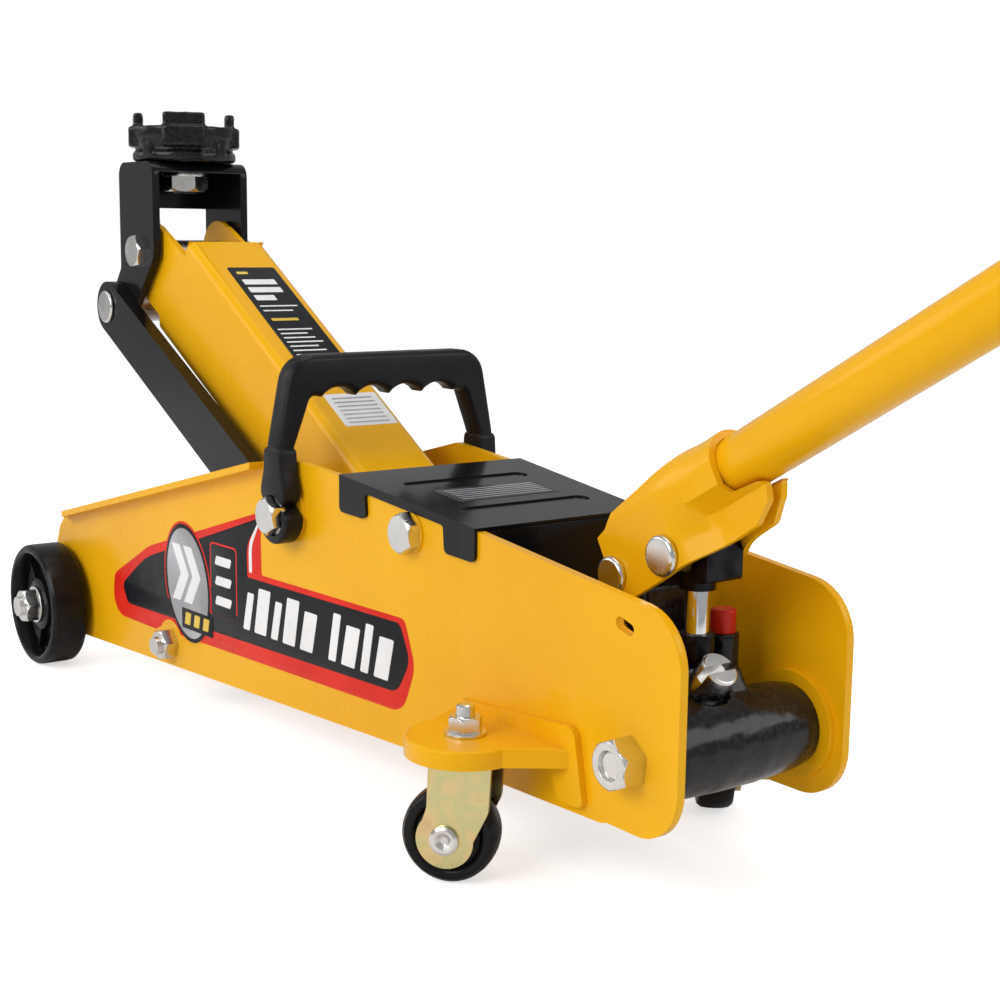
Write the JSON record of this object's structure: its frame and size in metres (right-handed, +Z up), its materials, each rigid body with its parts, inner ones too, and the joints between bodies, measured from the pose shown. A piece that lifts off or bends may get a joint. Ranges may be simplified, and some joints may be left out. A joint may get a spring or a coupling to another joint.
{
  "type": "hydraulic trolley jack",
  "caption": "Low wheeled hydraulic jack: spread side plates, lift arm with level saddle, rear casters, pump handle.",
  "frame": {"origin": "on the floor, on the midplane, midway between the front of the wheels and the end of the handle grip", "axes": "+X towards the handle end, +Y towards the right-hand side plate seen from the saddle's rear, +Z up"},
  "size_m": [0.975, 0.2036, 0.4315],
  "materials": {
    "yellow_paint": "gloss",
    "black_paint": "gloss",
    "black_cast": "gloss paint",
    "zinc_steel": "bright zinc",
    "yellow_zinc": "yellow passivated zinc",
    "bare_steel": "machined",
    "black_plastic": "semi gloss",
    "grip_rubber": "satin",
    "chrome": "polished",
    "black_steel": "black oxide",
    "red_plastic": "gloss"
  },
  "bodies": {
    "chassis": {"side_plate_left": "yellow_paint", "side_plate_right": "yellow_paint", "caster_bracket_left": "yellow_paint", "caster_bracket_right": "yellow_paint", "front_cross_brace": "black_paint", "front_brace_bolts": "zinc_steel", "front_brace_nuts": "zinc_steel", "top_cover": "black_paint", "arm_pivot_shaft": "bare_steel", "arm_pivot_bolts": "zinc_steel", "arm_pivot_spacers": "bare_steel", "link_pivot_studs": "zinc_steel", "front_axle_bolts": "zinc_steel", "front_axle_washers": "zinc_steel", "front_axle_nuts": "zinc_steel", "caster_races": "yellow_zinc", "caster_bolts": "zinc_steel", "caster_nuts": "zinc_steel", "carry_handle_bolts": "zinc_steel", "carry_handle_nuts": "zinc_steel", "power_unit_base": "black_cast", "trunnion_bolts": "zinc_steel", "trunnion_nuts": "zinc_steel", "reservoir_tank": "black_paint", "pressure_cylinder": "bare_steel", "tank_nut": "black_paint", "gland_bush": "bare_steel", "filler_plug": "red_plastic", "pump_barrel": "black_steel"},
    "front_wheel_left": {"front_wheel_left": "black_plastic"},
    "front_wheel_right": {"front_wheel_right": "black_plastic"},
    "caster_left": {"caster_fork_left": "yellow_zinc", "caster_axle_left": "zinc_steel"},
    "caster_right": {"caster_fork_right": "yellow_zinc", "caster_axle_right": "zinc_steel"},
    "caster_wheel_left": {"caster_wheel_left": "black_plastic"},
    "caster_wheel_right": {"caster_wheel_right": "black_plastic"},
    "lift_arm": {"lift_arm": "yellow_paint", "ram_pin": "bare_steel"},
    "links": {"link_left": "black_paint", "link_right": "black_paint"},
    "saddle_bracket": {"saddle_bracket": "black_paint", "saddle_pivot_bolt": "zinc_steel", "saddle_pivot_nut": "zinc_steel", "link_front_pin": "zinc_steel", "link_front_spacers": "bare_steel"},
    "saddle": {"saddle": "black_cast", "saddle_nut": "zinc_steel"},
    "ram": {"ram": "chrome", "ram_yoke": "black_cast"},
    "pump_plunger": {"pump_plunger": "chrome", "plunger_head": "black_steel"},
    "handle": {"handle_socket": "yellow_paint", "socket_pivot_pin": "zinc_steel", "pump_link_pin": "zinc_steel", "handle_tube_lower": "yellow_paint", "handle_tube_upper": "yellow_paint", "handle_grip": "grip_rubber"},
    "carry_handle": {"carry_handle": "black_plastic"},
    "release_valve": {"release_valve": "zinc_steel"}
  },
  "joints": [
    {"name": "arm_lift", "type": "hinge", "parent": "chassis", "child": "lift_arm", "pos_m": [-0.088, 0, 0.1345], "axis": [0, 1, 0], "range_deg": [-32, 8]},
    {"name": "link_swing", "type": "hinge", "parent": "chassis", "child": "links", "pos_m": [-0.1175, 0, 0.1], "axis": [0, 1, 0], "range_deg": [-32, 8]},
    {"name": "bracket_level", "type": "hinge", "parent": "lift_arm", "child": "saddle_bracket", "pos_m": [-0.414, 0, 0.2565], "axis": [0, 1, 0], "range_deg": [-8, 32]},
    {"name": "saddle_swivel", "type": "hinge", "parent": "saddle_bracket", "child": "saddle", "pos_m": [-0.414, 0, 0.31], "axis": [0, 0, 1], "continuous": true},
    {"name": "ram_slide", "type": "slide", "parent": "chassis", "child": "ram", "axis": [-1, 0, 0], "range_m": [-0.0375, 0.0095]},
    {"name": "handle_pump", "type": "hinge", "parent": "chassis", "child": "handle", "pos_m": [0.016, 0, 0.1295], "axis": [0, -1, 0], "range_deg": [-25, 25]},
    {"name": "plunger_slide", "type": "slide", "parent": "chassis", "child": "pump_plunger", "axis": [0, 0, 1], "range_m": [-0.013, 0.013]},
    {"name": "release_turn", "type": "hinge", "parent": "chassis", "child": "release_valve", "pos_m": [0.058, -0.007, 0.086], "axis": [0.6429, 0, 0.7659], "range_deg": [0, 180]},
    {"name": "carry_fold", "type": "hinge", "parent": "chassis", "child": "carry_handle", "pos_m": [-0.188, 0, 0.1295], "axis": [0, 1, 0], "range_deg": [0, 22]},
    {"name": "front_wheel_spin_left", "type": "hinge", "parent": "chassis", "child": "front_wheel_left", "pos_m": [-0.45, -0.08175, 0.0375], "axis": [0, 1, 0], "continuous": true},
    {"name": "front_wheel_spin_right", "type": "hinge", "parent": "chassis", "child": "front_wheel_right", "pos_m": [-0.45, 0.08175, 0.0375], "axis": [0, 1, 0], "continuous": true},
    {"name": "caster_swivel_left", "type": "hinge", "parent": "chassis", "child": "caster_left", "pos_m": [-0.012, -0.073, 0.0555], "axis": [0, 0, 1], "continuous": true},
    {"name": "caster_swivel_right", "type": "hinge", "parent": "chassis", "child": "caster_right", "pos_m": [-0.012, 0.073, 0.0555], "axis": [0, 0, 1], "continuous": true},
    {"name": "caster_spin_left", "type": "hinge", "parent": "caster_left", "child": "caster_wheel_left", "pos_m": [-0.0162, -0.0764, 0.0207], "axis": [-0.6293, 0.7771, 0], "continuous": true},
    {"name": "caster_spin_right", "type": "hinge", "parent": "caster_right", "child": "caster_wheel_right", "pos_m": [-0.0162, 0.0764, 0.0207], "axis": [-0.6293, -0.7771, 0], "continuous": true}
  ],
  "couplings": [
    {"joint": "link_swing", "follows": "arm_lift", "ratio": 1},
    {"joint": "bracket_level", "follows": "arm_lift", "ratio": -1},
    {"joint": "ram_slide", "follows": "arm_lift", "m_per_rad": 0.06663},
    {"joint": "plunger_slide", "follows": "handle_pump", "m_per_rad": 0.0295}
  ]
}
